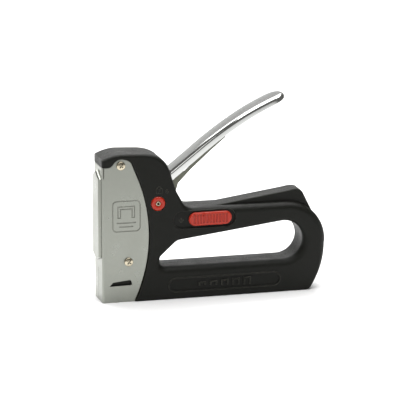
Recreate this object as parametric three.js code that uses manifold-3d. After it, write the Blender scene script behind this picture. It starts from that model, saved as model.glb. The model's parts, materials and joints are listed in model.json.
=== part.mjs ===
// A hand staple gun: plastic housing in two halves, folded steel nose, squeeze lever,
// spring driver, lever lock, power slider and a drawer magazine that slides out at the back.
// Millimetres. +X runs from the nose to the back, +Z is up, the left side faces -Y.
import * as THREE from 'three';
import { mergeVertices } from 'three/addons/utils/BufferGeometryUtils.js';
import Module from 'manifold-3d';

const wasm = await Module();
wasm.setup();

// ---- driving dimensions -------------------------------------------------------------
const overallLength = 179;        // flat nose face to the back of the handle
const bodyHalfWidth = 14.5;       // plastic housing
const bodyWall = 2.5;             // housing wall over the mechanism
const handleTop = 71;             // top of the grip bar
const gripHeight = 31;            // clear height of the finger loop at its back
const gripFloor = 25.5;           // underside of the finger loop above the base
const headTop = 117;              // highest line of the head
const seamGap = 0.3;              // parting line between the halves
const fitGap = 0.3;               // between pieces that seat on each other
const runGap = 0.4;               // between pieces that move past each other

const noseHalfWidth = 13;
const noseSheet = 1.5;            // steel sheet of the nose
const noseHeight = 106.6;         // top of the nose's front wall
const noseFootLength = 25.2;      // length of the side plate along the base
const noseBellyLength = 37;       // greatest length of the side plate
const noseBellyHeight = 52;       // height at which it is longest
const panelRise = 2.3;            // raised panel pressed out of the nose front
const panelHalfWidth = 10.4;

const leverPivot = { x: 40, z: 92 };
const leverTravel = 35.5;         // degrees, from open to squeezed
const leverSheet = 1.2;           // chromed cover
const leverFlange = 6.6;          // depth of the cover's side flanges
const leverTipX = 150;            // end of the open lever
const armSheet = 1.5;
const clawReach = 29;             // pivot to the lifting claws
const clawRadius = 2.4;
const pivotRadius = 2.5;

const lockPlace = { x: 44, z: 76.6 };
const lockButtonRadius = 5.65;
const lockTravel = 3;
const lockFatRadius = 3.2;
const lockWaistRadius = 2.1;

const finHalfWidth = 8;
const finRise = 9.8;              // crest of the centre rib above the grip bar
const finStartX = 87;

const sliderLength = 34.2;
const sliderHeight = 10.5;
const sliderTravel = 9.5;
const sliderBackX = 102.6;
const sliderZ = 62.4;
const recessLength = 49.6;
const recessHeight = 13.7;
const recessDepth = 1.5;

const mainSpringRadius = 4.3;     // to the middle of the wire
const mainSpringWire = 0.75;      // wire radius
const mainSpringTurns = 8;
const driverX = 13;               // axis of the main spring and driver block
const blockWall = 1.1;            // wall of the driver block round the spring
const bladeThickness = 1.2;
const bladeHalfWidth = 5.7;

const railHalfWidth = 4.4;
const railTop = 15.2;
const magazineSheet = 1;
const stapleWire = 0.6;
const stapleStripLength = 50;
const rodRadius = 1.5;
const rodZ = 7.5;
const screwHeadRadius = 3.4;
const screwShankRadius = 1.9;

// ---- sizes worked out from the ones above -------------------------------------------
const halfTravel = THREE.MathUtils.degToRad(leverTravel / 2);
const noseInner = noseHalfWidth - noseSheet;
const cavityHalfWidth = bodyHalfWidth - bodyWall;
const pocketRadius = mainSpringRadius + mainSpringWire + 0.3;
const blockHalfWidth = pocketRadius + 0.25;
const armInner = blockHalfWidth + 0.3;
const armOuter = armInner + armSheet;
const leverBaseHalfWidth = armOuter + 0.2 + leverSheet;
const leverTipHalfWidth = Math.max(finHalfWidth + 1.4 + leverSheet, leverBaseHalfWidth + 1);
const leverSlotHalfWidth = leverBaseHalfWidth + 0.7;
const mechanismHalfWidth = armOuter + 0.8;              // clear width between the nose tongues
const clawRest = {
  x: leverPivot.x - clawReach * Math.cos(halfTravel),
  z: leverPivot.z - clawReach * Math.sin(halfTravel),
};
const lugBottom = clawRest.z + clawRadius + 0.3;
const blockTop = lugBottom + 3.5;
const blockBottom = blockTop - 20;
const springFoot = blockBottom + 2.2;
const springTop = headTop - 6.2;
const blockFrontX = driverX - pocketRadius - blockWall;
const springSeatRadius = mainSpringRadius + 1;
const seatFrontX = driverX - springSeatRadius - runGap;
const halfOuter = bodyHalfWidth + 0.5;                  // slider, lock button and screw heads
const lockButtonDepth = halfOuter - lockTravel - armOuter - 0.6;
const lockReach = Math.hypot(lockPlace.x - leverPivot.x, lockPlace.z - leverPivot.z);
const lockAngle = Math.atan2(lockPlace.z - leverPivot.z, lockPlace.x - leverPivot.x);
const staplesTop = railTop + fitGap + stapleWire;
const channelTop = staplesTop + 1.2;
const channelHalfWidth = railHalfWidth + fitGap + stapleWire + 0.8;
const backRadius = handleTop - 39;                      // round of the handle's back
const backX = overallLength - backRadius;
const stripFrontX = 4.4;
const stripBackX = stripFrontX + stapleStripLength;
const capFrontX = overallLength - 19;
const screws = {
  upper: { x: 14.9, z: 107.8 },
  lower: { x: 20.7, z: 31.8 },
};

// ---- helpers --------------------------------------------------------------------------
function solidOf(geometry) {
  const bare = geometry.index ? geometry.toNonIndexed() : geometry.clone();
  for (const name of Object.keys(bare.attributes)) {
    if (name !== 'position') bare.deleteAttribute(name);
  }
  const merged = mergeVertices(bare, 1e-4);
  return new wasm.Manifold(new wasm.Mesh({
    numProp: 3,
    vertProperties: merged.attributes.position.array,
    triVerts: new Uint32Array(merged.index.array),
  }));
}

function geometryOf(solid) {
  const mesh = solid.getMesh();
  const geometry = new THREE.BufferGeometry();
  const places = new THREE.BufferAttribute(new Float32Array(mesh.vertProperties), 3);
  geometry.setAttribute('position', places);
  geometry.setIndex([...mesh.triVerts]);
  return geometry;
}

const cut = (solid, ...tools) => tools.reduce((rest, tool) => rest.subtract(tool), solid);
const join = (solid, ...others) => others.reduce((whole, other) => whole.add(other), solid);

// Corners given as [x, z, radius]; a corner with a radius is rounded off.
function outline(corners) {
  const path = new THREE.Shape();
  corners.forEach(([x, z, radius = 0], i) => {
    const here = new THREE.Vector2(x, z);
    const [px, pz] = corners[(i + corners.length - 1) % corners.length];
    const [nx, nz] = corners[(i + 1) % corners.length];
    const before = new THREE.Vector2(px, pz).sub(here).normalize();
    const after = new THREE.Vector2(nx, nz).sub(here).normalize();
    const halfAngle = Math.acos(THREE.MathUtils.clamp(before.dot(after), -1, 1)) / 2;
    const reach = radius / Math.tan(halfAngle);
    const start = here.clone().addScaledVector(before, reach);
    const end = here.clone().addScaledVector(after, reach);
    if (i === 0) path.moveTo(start.x, start.y);
    else path.lineTo(start.x, start.y);
    if (radius > 0) path.quadraticCurveTo(x, z, end.x, end.y);
  });
  path.closePath();
  return path;
}

// A flat shape in the XZ plane made solid from y0 to y1, with its far and near edges
// rounded by `round`.
function slab(shape, y0, y1, { steps = 4, round = 0 } = {}) {
  const geometry = new THREE.ExtrudeGeometry(shape, {
    depth: y1 - y0 - 2 * round,
    curveSegments: steps,
    bevelEnabled: round > 0,
    bevelThickness: round,
    bevelSize: round,
    bevelOffset: -round,
    bevelSegments: 2,
  });
  geometry.translate(0, 0, round);
  geometry.rotateX(Math.PI / 2);
  geometry.translate(0, y1, 0);
  return solidOf(geometry);
}

const bothSides = (shape, halfWidth, options) => slab(shape, -halfWidth, halfWidth, options);

function box(x0, x1, y0, y1, z0, z1) {
  const geometry = new THREE.BoxGeometry(x1 - x0, y1 - y0, z1 - z0);
  geometry.translate((x0 + x1) / 2, (y0 + y1) / 2, (z0 + z1) / 2);
  return solidOf(geometry);
}

function rodAcross(place, radius, y0, y1, sides = 20) {
  const geometry = new THREE.CylinderGeometry(radius, radius, y1 - y0, sides);
  geometry.translate(place.x, (y0 + y1) / 2, place.z);
  return solidOf(geometry);
}

function rodUp(x, y, radius, z0, z1, sides = 20) {
  const geometry = new THREE.CylinderGeometry(radius, radius, z1 - z0, sides);
  geometry.rotateX(Math.PI / 2);
  geometry.translate(x, y, (z0 + z1) / 2);
  return solidOf(geometry);
}

function rodAlong(x0, x1, z, radius, sides = 16) {
  const geometry = new THREE.CylinderGeometry(radius, radius, x1 - x0, sides);
  geometry.rotateZ(Math.PI / 2);
  geometry.translate((x0 + x1) / 2, 0, z);
  return solidOf(geometry);
}

function obround(x0, x1, z, height) {
  const r = height / 2;
  const path = new THREE.Shape();
  path.absarc(x1 - r, z, r, -Math.PI / 2, Math.PI / 2, false);
  path.absarc(x0 + r, z, r, Math.PI / 2, 1.5 * Math.PI, false);
  path.closePath();
  return path;
}

function mirrored(geometry) {
  const copy = geometry.clone();
  copy.scale(1, -1, 1);
  const index = [...copy.index.array];
  for (let i = 0; i < index.length; i += 3) [index[i], index[i + 1]] = [index[i + 1], index[i]];
  copy.setIndex(index);
  return copy;
}

// Joins equal rings of points into one closed skin with flat ends.
function loft(rings) {
  const count = rings[0].length;
  const places = rings.flat().flatMap((p) => [p.x, p.y, p.z]);
  const index = [];
  for (let r = 0; r + 1 < rings.length; r += 1) {
    for (let i = 0; i < count; i += 1) {
      const a = r * count + i;
      const b = r * count + ((i + 1) % count);
      index.push(a, b, b + count, a, b + count, a + count);
    }
  }
  const last = (rings.length - 1) * count;
  for (let i = 1; i + 1 < count; i += 1) {
    index.push(0, i + 1, i);
    index.push(last, last + i, last + i + 1);
  }
  const geometry = new THREE.BufferGeometry();
  geometry.setAttribute('position', new THREE.Float32BufferAttribute(places, 3));
  geometry.setIndex(index);
  return solidOf(geometry);
}

class Helix extends THREE.Curve {
  constructor(place, radius, turns) {
    super();
    Object.assign(this, { place, radius, turns });
  }

  getPoint(t, target = new THREE.Vector3()) {
    const angle = t * this.turns * 2 * Math.PI;
    return this.place(t, this.radius * Math.cos(angle), this.radius * Math.sin(angle), target);
  }
}

function coil(place, radius, wire, turns, stepsPerTurn = 10, sides = 6) {
  const section = new THREE.Shape();
  section.absarc(0, 0, wire, 0, 2 * Math.PI, false);
  const geometry = new THREE.ExtrudeGeometry(section, {
    steps: Math.round(turns * stepsPerTurn),
    curveSegments: sides / 2,
    extrudePath: new Helix(place, radius, turns),
  });
  return solidOf(geometry);
}

const tool = new THREE.Group();
const finishes = {
  blackPlastic: { color: 0x282925, roughness: 0.55, metalness: 0 },
  zincSteel: { color: 0xaaaca6, roughness: 0.45, metalness: 0.9 },
  chrome: { color: 0xd8d8d6, roughness: 0.08, metalness: 1 },
  dullZinc: { color: 0x8b8d80, roughness: 0.6, metalness: 0.8 },
  nickel: { color: 0xcdc3aa, roughness: 0.3, metalness: 1 },
  redPlastic: { color: 0xbe3728, roughness: 0.4, metalness: 0 },
  springSteel: { color: 0x6e6e6c, roughness: 0.35, metalness: 1 },
  rubber: { color: 0x1a1a1a, roughness: 0.9, metalness: 0 },
};

function add(name, shape, finish) {
  const geometry = shape instanceof THREE.BufferGeometry ? shape : geometryOf(shape);
  const mesh = new THREE.Mesh(geometry, new THREE.MeshStandardMaterial(finishes[finish]));
  mesh.name = name;
  tool.add(mesh);
}

// ---- outlines ---------------------------------------------------------------------------
// Side plate of the nose: straight front, bowed back edge and a lobe for the upper screw.
function sidePlate(grow = 0) {
  const lean = noseBellyLength - noseFootLength;
  const bowRadius = (noseBellyHeight ** 2 + lean ** 2) / (2 * lean);
  const centreX = noseBellyLength - bowRadius;
  const topZ = screws.upper.z - 8.3;
  const angleAt = (z) => Math.asin((z - noseBellyHeight) / (bowRadius + grow));
  const path = new THREE.Shape();
  path.absarc(centreX, noseBellyHeight, bowRadius + grow, angleAt(-grow), angleAt(topZ), false);
  const lobe = screws.upper;
  path.lineTo(lobe.x + 8.3 + grow, lobe.z + 1.6);
  path.quadraticCurveTo(lobe.x + 5.4 + grow, lobe.z + 5 + grow, lobe.x, lobe.z + 5 + grow);
  path.quadraticCurveTo(lobe.x - 3 - grow, lobe.z + 5 + grow, lobe.x - 6, lobe.z + 1.4 + grow);
  path.quadraticCurveTo(lobe.x - 7.6, noseHeight + grow, lobe.x - 10.6, noseHeight + grow);
  path.lineTo(-grow, noseHeight + grow);
  path.lineTo(-grow, -grow);
  path.closePath();
  return path;
}

// Finger loop: a long rounded hole, its top edge rising to the back.
function fingerLoop() {
  const endRadius = gripHeight / 2;
  const endX = backX - 2;
  const endZ = gripFloor + endRadius;
  const frontX = noseBellyLength + 9;
  const path = new THREE.Path();
  path.absarc(endX, endZ, endRadius, -Math.PI / 2, Math.PI / 2 + 0.13, false);
  path.lineTo(frontX + 16, endZ + 5.4);
  path.quadraticCurveTo(frontX + 13, endZ + 5, frontX + 11, endZ + 3);
  path.lineTo(frontX + 1, endZ - 6.5);
  path.quadraticCurveTo(frontX, endZ - 7.5, frontX, endZ - 9);
  path.lineTo(frontX, gripFloor + 5);
  path.quadraticCurveTo(frontX, gripFloor, frontX + 5, gripFloor);
  path.closePath();
  return path;
}

// Whole side view of the plastic: base, round back, grip bar, head and cap.
function housingSide() {
  const inset = noseSheet + fitGap;
  const footX = backX + 17;
  const lowerRadius = 62.8;
  const lowerCentreX = overallLength - lowerRadius;
  const lowerCentreZ = handleTop - backRadius;
  const footAngle = -Math.asin((lowerCentreZ - 2) / lowerRadius);
  const path = new THREE.Shape();
  path.moveTo(inset, 0.3);
  path.lineTo(noseFootLength, 0.3);
  path.lineTo(noseFootLength + 1, 0);
  path.lineTo(footX, 0);
  path.absarc(lowerCentreX, lowerCentreZ, lowerRadius, footAngle, 0, false);
  path.absarc(backX, lowerCentreZ, backRadius, 0, Math.PI / 2, false);
  path.lineTo(72, handleTop);
  path.quadraticCurveTo(66, handleTop, 63.6, handleTop + 5.5);
  path.lineTo(59, handleTop + 14);
  path.lineTo(54.6, headTop - 18.5);
  path.quadraticCurveTo(53, headTop - 10, 46.5, headTop - 5.2);
  path.quadraticCurveTo(41, headTop - 1.4, 32, headTop - 0.8);
  path.lineTo(15, headTop);
  path.quadraticCurveTo(10, headTop, 0, headTop - 4);
  path.lineTo(0, noseHeight + fitGap);
  path.lineTo(inset, noseHeight + fitGap);
  path.closePath();
  path.holes.push(fingerLoop());
  return path;
}

// Centre rib on the grip bar, which enters the lever when it is squeezed.
const finSide = outline([
  [finStartX, handleTop - 0.4],
  [backX + 9, handleTop + finRise, 9],
  [backX + 14.5, handleTop + finRise - 4, 3],
  [backX + 23, handleTop - 11],
  [finStartX + 20, handleTop - 11],
]);

// ---- housing halves -----------------------------------------------------------------------
const screwPlaces = [
  { x: 41.5, z: 27 },
  { x: 64, z: gripFloor + 26.6 },
  { x: overallLength - 10, z: 42 },
  { x: backX + 8, z: handleTop - 9 },
];

function rightHalf() {
  const shell = slab(housingSide(), -6, bodyHalfWidth, { round: 2.6, steps: 7 });
  const fin = slab(finSide, -4, finHalfWidth, { round: 1.2 });
  const tongueOuter = noseInner - fitGap;
  const plateRoom = slab(sidePlate(fitGap), tongueOuter, bodyHalfWidth + 5);
  const pastSeam = box(-5, overallLength + 20, -20, seamGap / 2, -5, headTop + 20);
  const driverRoom = outline([
    [-1, channelTop], [24, channelTop], [24, headTop - 7],
    [blockFrontX - runGap, headTop - 7], [blockFrontX - runGap, noseHeight - 1], [-1, noseHeight - 1],
  ]);
  const headRoom = outline([
    [22, handleTop - 6], [51, handleTop - 6], [53, headTop - 20], [44, headTop - 6.5],
    [22, headTop - 3.4, 1], [seatFrontX, headTop - 4.2], [seatFrontX, headTop - 8], [22, headTop - 8],
  ]);
  const leverRoom = outline([
    [30, handleTop + 0.8], [86, handleTop + 0.8], [86, headTop - 4], [53.5, headTop - 4],
    [49, headTop - 9], [30, headTop - 9],
  ]);
  const sliderRoom = outline([
    [sliderBackX - recessLength + 6, sliderZ - 5.8], [sliderBackX + 5, sliderZ - 5.8],
    [sliderBackX + 5, sliderZ + 5.4], [sliderBackX - recessLength + 6, sliderZ + 5.4],
  ]);
  const magazineRoom = box(-1, capFrontX, -1, channelHalfWidth + magazineSheet + fitGap,
    -1, channelTop + magazineSheet + fitGap);
  const capRoom = box(capFrontX - 1, overallLength + 5, -1, 8 + runGap, -1, 20 + runGap);
  const cleared = cut(join(shell, fin), pastSeam, plateRoom,
    slab(driverRoom, -1, mechanismHalfWidth), slab(headRoom, -1, cavityHalfWidth),
    slab(leverRoom, -1, leverSlotHalfWidth), slab(sliderRoom, -1, cavityHalfWidth),
    magazineRoom, capRoom);
  const boss = rodAcross(leverPivot, pivotRadius + 2.5, leverSlotHalfWidth,
    cavityHalfWidth + 0.5);
  const nut = rodAcross(leverPivot, pivotRadius + 0.1, -1, cavityHalfWidth - 0.2);
  const lockHole = rodAcross(lockPlace, lockButtonRadius + 0.25, 1, bodyHalfWidth + 2, 28);
  const tongueHoles = Object.values(screws).map((place) => (
    rodAcross(place, screwShankRadius + 0.3, 0, bodyHalfWidth + 2, 12)));
  return cut(join(cleared, boss), nut, lockHole, ...tongueHoles);
}

const half = rightHalf();
const screwHoles = screwPlaces.flatMap((place) => [
  rodAcross(place, 3.9, 10, bodyHalfWidth + 2),
  rodAcross(place, 1.8, -1, 11, 12),
]);
add('housing_right', cut(half, ...screwHoles), 'blackPlastic');

const leftBlank = solidOf(mirrored(geometryOf(half)));
const recessFloor = -bodyHalfWidth + recessDepth;
const recessFrontX = sliderBackX + 3.2 - recessLength;
const sliderFrontX = sliderBackX - sliderLength;
const neckX = [sliderFrontX + 12, sliderFrontX + 22];
const sliderRecess = slab(obround(recessFrontX, recessFrontX + recessLength, sliderZ, recessHeight),
  -bodyHalfWidth - 2, recessFloor, { steps: 8 });
const neckSlot = slab(obround(neckX[0] - sliderTravel - 1.5, neckX[1] + 1.5, sliderZ, 5),
  -bodyHalfWidth, 0);
const lowerRecess = slab(obround(noseBellyLength + 14.8, backX - 4.8, 11, 11.4),
  -bodyHalfWidth - 2, -bodyHalfWidth + 0.6, { steps: 8 });
const blindHoles = screwPlaces.map((place) => rodAcross(place, 1.8, -10.6, 1, 12));
add('housing_left', cut(leftBlank, sliderRecess, neckSlot, lowerRecess, ...blindHoles),
  'blackPlastic');

for (const [i, place] of screwPlaces.entries()) {
  const head = rodAcross(place, 3.4, 10 + fitGap, 12.4);
  const shank = rodAcross(place, 1.5, -10, 11, 12);
  add(`housing_screw_${i + 1}`, join(head, shank), 'springSteel');
}

// ---- nose -------------------------------------------------------------------------------
function noseCover() {
  const tall = headTop + 10;
  const roundedPlan = new THREE.Shape();
  const r = 1.8;
  roundedPlan.moveTo(60, -noseHalfWidth);
  roundedPlan.lineTo(60, noseHalfWidth);
  roundedPlan.absarc(r, noseHalfWidth - r, r, Math.PI / 2, Math.PI, false);
  roundedPlan.absarc(r, r - noseHalfWidth, r, Math.PI, 1.5 * Math.PI, false);
  roundedPlan.closePath();
  const plan = solidOf(new THREE.ExtrudeGeometry(roundedPlan, {
    depth: tall, bevelEnabled: false, curveSegments: 3,
  }));
  const blank = bothSides(sidePlate(), noseHalfWidth).intersect(plan);
  const hollow = box(noseSheet, 60, -noseInner, noseInner, -1, tall);
  const panel = (halfWidth, x0, x1) => {
    const inset = panelHalfWidth - halfWidth;
    const face = new THREE.Shape();
    face.moveTo(0, 32.4 + inset);
    face.lineTo(halfWidth, 36 + inset);
    face.lineTo(halfWidth, 97.3 - inset);
    face.lineTo(0, 102.4 - inset);
    face.lineTo(-halfWidth, 97.3 - inset);
    face.lineTo(-halfWidth, 36 + inset);
    face.closePath();
    const geometry = new THREE.ExtrudeGeometry(face, { depth: x1 - x0, bevelEnabled: false });
    geometry.rotateX(Math.PI / 2);
    geometry.rotateZ(Math.PI / 2);
    geometry.translate(x0, 0, 0);
    return solidOf(geometry);
  };
  const windowSlot = outline([
    [5.6, 12.8], [6.4, 13.9], [8.4, 16], [21.9, 17.4, 1.6], [23.8, 13.1, 1.3],
  ]);
  const reliefSlit = bothSides(outline([[1.2, 97], [2, 97], [2, noseHeight + 1], [1.2, noseHeight + 1]]),
    noseHalfWidth + 2);
  const holes = Object.values(screws).map((place) => (
    rodAcross(place, screwShankRadius + 0.3, -20, 20, 12)));
  return cut(join(blank, panel(panelHalfWidth, -panelRise, 0.5)), hollow,
    panel(panelHalfWidth - noseSheet, noseSheet - panelRise, noseSheet + 1),
    bothSides(windowSlot, noseHalfWidth + 2), reliefSlit, ...holes);
}
add('nose_cover', noseCover(), 'zincSteel');

function panScrew(place, side) {
  const headBottom = noseHalfWidth + 0.1;
  const profile = [
    [0, mechanismHalfWidth + 0.3], [screwShankRadius, mechanismHalfWidth + 0.3],
    [screwShankRadius, headBottom], [screwHeadRadius, headBottom],
    [screwHeadRadius, headBottom + 0.9], [screwHeadRadius - 1, halfOuter - 0.15], [0, halfOuter],
  ].map(([r, y]) => new THREE.Vector2(r, y));
  const turned = new THREE.LatheGeometry(profile, 18);
  turned.translate(place.x, 0, place.z);
  const arm = (dx, dz) => box(place.x - dx, place.x + dx, halfOuter - 1.1, halfOuter + 1,
    place.z - dz, place.z + dz);
  const right = geometryOf(cut(solidOf(turned), arm(1.7, 0.4), arm(0.4, 1.7)));
  return side > 0 ? right : mirrored(right);
}
for (const [level, place] of Object.entries(screws)) {
  add(`nose_screw_${level}_left`, panScrew(place, -1), 'nickel');
  add(`nose_screw_${level}_right`, panScrew(place, 1), 'nickel');
}

// ---- driver -------------------------------------------------------------------------------
const bladeX0 = noseSheet + 0.8;
const bladeX1 = bladeX0 + bladeThickness;
const guideTop = blockBottom - 8;
const guideWall = box(bladeX1 + runGap, bladeX1 + runGap + 1.2, -mechanismHalfWidth + 1,
  mechanismHalfWidth - 1, channelTop + 2, guideTop);
const guideFlange = (y0, y1) => box(noseSheet + fitGap, bladeX1 + 1, y0, y1, channelTop + 2, guideTop);
const shelf = box(bladeX1 + 1, 22, -mechanismHalfWidth + 1, mechanismHalfWidth - 1,
  guideTop - 1.5, guideTop);
add('driver_guide', join(guideWall, shelf,
  guideFlange(bladeHalfWidth + runGap, mechanismHalfWidth - 1),
  guideFlange(1 - mechanismHalfWidth, -bladeHalfWidth - runGap)), 'zincSteel');
add('driver_bumper', box(bladeX1 + 1.6, 20, -blockHalfWidth, blockHalfWidth,
  guideTop + fitGap, blockBottom - fitGap), 'rubber');
add('driver_blade', box(bladeX0, bladeX1, -bladeHalfWidth, bladeHalfWidth,
  1, blockBottom + 12), 'springSteel');

function driverBlock() {
  const cup = box(blockFrontX, driverX + pocketRadius + blockWall, -blockHalfWidth,
    blockHalfWidth, blockBottom, blockTop);
  const foot = box(bladeX1 + 0.3, blockFrontX + 0.5, -4.5, 4.5, blockBottom, blockBottom + 10);
  const lug = (y0, y1) => box(clawRest.x - 3.6, clawRest.x + 1.2, y0, y1, lugBottom, blockTop);
  return cut(join(cup, foot, lug(blockHalfWidth - 0.5, mechanismHalfWidth - 0.25),
    lug(0.25 - mechanismHalfWidth, 0.5 - blockHalfWidth)),
  rodUp(driverX, 0, pocketRadius, springFoot - 0.4, blockTop + 2, 24));
}
add('driver_block', driverBlock(), 'zincSteel');

const springRun = springTop - springFoot - 2 * mainSpringWire;
add('main_spring', coil((t, a, b, out) => out.set(driverX + a, b,
  springFoot + mainSpringWire + t * springRun), mainSpringRadius, mainSpringWire,
mainSpringTurns), 'springSteel');
add('spring_seat', join(rodUp(driverX, 0, springSeatRadius, springTop + fitGap, headTop - 4.6),
  rodUp(driverX, 0, mainSpringRadius - mainSpringWire - 0.4, springTop - 4, springTop + 1)),
'zincSteel');

// ---- lever --------------------------------------------------------------------------------
const leverLine = new THREE.SplineCurve([
  [50, 96.4], [66.6, 109.4], [90.4, 127.6], [114.3, 142.8], [136, 153.4], [leverTipX - 3, 156.6],
].map(([x, z]) => new THREE.Vector2(x, z)));

// Sections of the lever, `thinner` inside its outer skin and `deeper` below its edges.
function leverSections(thinner, deeper, stopShort) {
  const stations = 20;
  const length = leverLine.getLength();
  const tipRound = 9;
  return [...Array(stations).keys()].map((i) => {
    const along = ((i / (stations - 1)) ** 0.8) * (1 - stopShort / length);
    const place = leverLine.getPointAt(along);
    const run = leverLine.getTangentAt(along);
    const toTip = Math.max(0, tipRound - (1 - along) * length + stopShort * 0.2) / tipRound;
    const narrow = Math.sqrt(Math.max(0.09, 1 - toTip ** 2 * 0.9));
    const halfWidth = THREE.MathUtils.lerp(leverBaseHalfWidth, leverTipHalfWidth,
      Math.min(1, along * 1.3)) * narrow - thinner;
    const depth = (leverFlange - 1.6 * along) * Math.sqrt(narrow) + deeper;
    const corner = Math.min(2.6 - thinner, halfWidth * 0.6);
    const section = [];
    for (const side of [1, -1]) {
      const arc = [0, 0.5, 1].map((f) => (side > 0 ? f : 1 - f) * Math.PI / 2);
      const rounded = arc.map((angle) => [
        side * (halfWidth - corner + corner * Math.cos(angle)),
        -thinner - corner + corner * Math.sin(angle)]);
      const foot = [side * halfWidth, -depth];
      section.push(...(side > 0 ? [foot, ...rounded] : [...rounded, foot]));
    }
    return section.map(([y, up]) => new THREE.Vector3(place.x - run.y * up, y, place.y + run.x * up));
  });
}
const leverSkin = loft(leverSections(0, 0, 0));
const leverInside = loft(leverSections(leverSheet, 3, 2.6));
const openBase = bothSides(outline([[40, 80], [50.6, 80], [50.6, 92], [48, 99], [40, 99]]),
  armOuter + 0.2);
add('lever_cover', cut(leverSkin, leverInside, openBase), 'chrome');

function leverArm(y0, y1) {
  const under = [60, 74, 88, 100].map((x) => {
    const f = (x - 50) / (leverTipX - 3 - 50);
    const place = leverLine.getPointAt(f);
    const run = leverLine.getTangentAt(f);
    const down = leverSheet + 1.4;
    return [place.x + run.y * down, place.y - run.x * down];
  });
  const around = (reach, degrees) => {
    const angle = THREE.MathUtils.degToRad(degrees);
    return [leverPivot.x + reach * Math.cos(angle), leverPivot.z + reach * Math.sin(angle)];
  };
  const lobeReach = lockReach + lockFatRadius + 2.4;
  const path = new THREE.Shape();
  path.moveTo(...around(7.5, 160));
  path.lineTo(clawRest.x + 1.5, clawRest.z + clawRadius);
  path.absarc(clawRest.x, clawRest.z, clawRadius, Math.PI / 2, 1.5 * Math.PI, false);
  path.lineTo(clawRest.x + 6, clawRest.z - clawRadius - 0.6);
  path.lineTo(...around(10, 215));
  path.lineTo(...around(lobeReach - 2, 258));
  path.absarc(leverPivot.x, leverPivot.z, lobeReach, THREE.MathUtils.degToRad(262),
    THREE.MathUtils.degToRad(332), false);
  path.lineTo(61.5, 90.2);
  path.lineTo(71.4, 100.4);
  path.lineTo(87.3, 114.5);
  path.lineTo(99.5, 124.6);
  path.lineTo(...under[3]);
  path.lineTo(...under[2]);
  path.lineTo(...under[1]);
  path.lineTo(...under[0]);
  path.lineTo(50.5, 92.8);
  path.lineTo(...around(8, 68));
  path.absarc(leverPivot.x, leverPivot.z, 8, THREE.MathUtils.degToRad(70),
    THREE.MathUtils.degToRad(150), false);
  path.closePath();
  const lockSlot = new THREE.Shape();
  const turn = 2 * halfTravel;
  const inner = lockReach - lockWaistRadius - 0.35;
  const outer = lockReach + lockWaistRadius + 0.35;
  lockSlot.absarc(leverPivot.x, leverPivot.z, outer, lockAngle, lockAngle + turn, false);
  lockSlot.absarc(leverPivot.x, leverPivot.z, inner, lockAngle + turn, lockAngle, true);
  lockSlot.closePath();
  const notches = [lockAngle, lockAngle + turn].map((angle) => rodAcross({
    x: leverPivot.x + lockReach * Math.cos(angle), z: leverPivot.z + lockReach * Math.sin(angle),
  }, lockFatRadius + 0.3, y0 - 1, y1 + 1));
  const eye = slab(outline([[65.6, 98.2], [71.6, 103.6], [73.4, 106.6], [66.4, 101.2]]),
    y0 - 1, y1 + 1);
  const rivetHoles = leverRivets.map((place) => rodAcross(place, 2.2, y0 - 1, y1 + 1, 14));
  return cut(slab(path, y0, y1, { steps: 5 }), slab(lockSlot, y0 - 1, y1 + 1, { steps: 5 }),
    ...notches, rodAcross(leverPivot, pivotRadius + 0.1, y0 - 1, y1 + 1), eye, ...rivetHoles);
}
const leverRivets = [{ x: 59.5, z: 96.4 }, { x: 86, z: 118 }];
add('lever_arm_right', leverArm(armInner, armOuter), 'dullZinc');
add('lever_arm_left', leverArm(-armOuter, -armInner), 'dullZinc');
for (const [i, place] of leverRivets.entries()) {
  const core = rodAcross(place, 3, -armInner + 0.2, armInner - 0.2, 14);
  const ends = rodAcross(place, 2, -armOuter, armOuter, 14);
  add(`lever_rivet_${i + 1}`, join(core, ends), 'dullZinc');
}
add('lever_pivot_pin', rodAcross(leverPivot, pivotRadius, 0.3 - cavityHalfWidth,
  cavityHalfWidth - 0.3), 'springSteel');
add('lever_return_spring', coil((t, a, b, out) => out.set(leverPivot.x + a,
  (t - 0.5) * 8, leverPivot.z + b), pivotRadius + 1.1, 0.5, 5), 'springSteel');

// ---- lever lock -----------------------------------------------------------------------------
function lockPin() {
  const fatStart = -armOuter - 0.4;
  const profile = [
    [0, -halfOuter + 3], [1, -halfOuter + 3], [1, -halfOuter], [1.75, -halfOuter],
    [1.75, fatStart - 3], [lockFatRadius, fatStart - 2.7], [lockFatRadius, fatStart],
    [lockWaistRadius, fatStart], [lockWaistRadius, armInner - 3.2], [lockFatRadius, armInner - 3.2],
    [lockFatRadius, armInner - 0.4], [1.75, armInner - 0.4], [1.75, halfOuter - lockTravel],
    [1, halfOuter - lockTravel], [1, halfOuter - lockTravel - 3], [0, halfOuter - lockTravel - 3],
  ].map(([r, y]) => new THREE.Vector2(r, y));
  const turned = new THREE.LatheGeometry(profile, 16);
  turned.translate(lockPlace.x, 0, lockPlace.z);
  return solidOf(turned);
}
add('lock_pin', lockPin(), 'dullZinc');

function lockButton(faceY, backY) {
  const into = Math.sign(backY - faceY);
  const profile = [
    [2, backY], [lockButtonRadius, backY], [lockButtonRadius, faceY + into * 0.6],
    [lockButtonRadius - 0.6, faceY], [2.2, faceY + into * 0.2], [2, faceY + into * 0.5],
    [2, backY],
  ].map(([r, y]) => new THREE.Vector2(r, y));
  const turned = new THREE.LatheGeometry(into > 0 ? profile.reverse() : profile, 24);
  turned.translate(lockPlace.x, 0, lockPlace.z);
  return solidOf(turned);
}
add('lock_button_left', lockButton(-halfOuter, lockButtonDepth - halfOuter), 'redPlastic');
add('lock_button_right', lockButton(halfOuter - lockTravel,
  halfOuter - lockTravel - lockButtonDepth), 'redPlastic');

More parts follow.
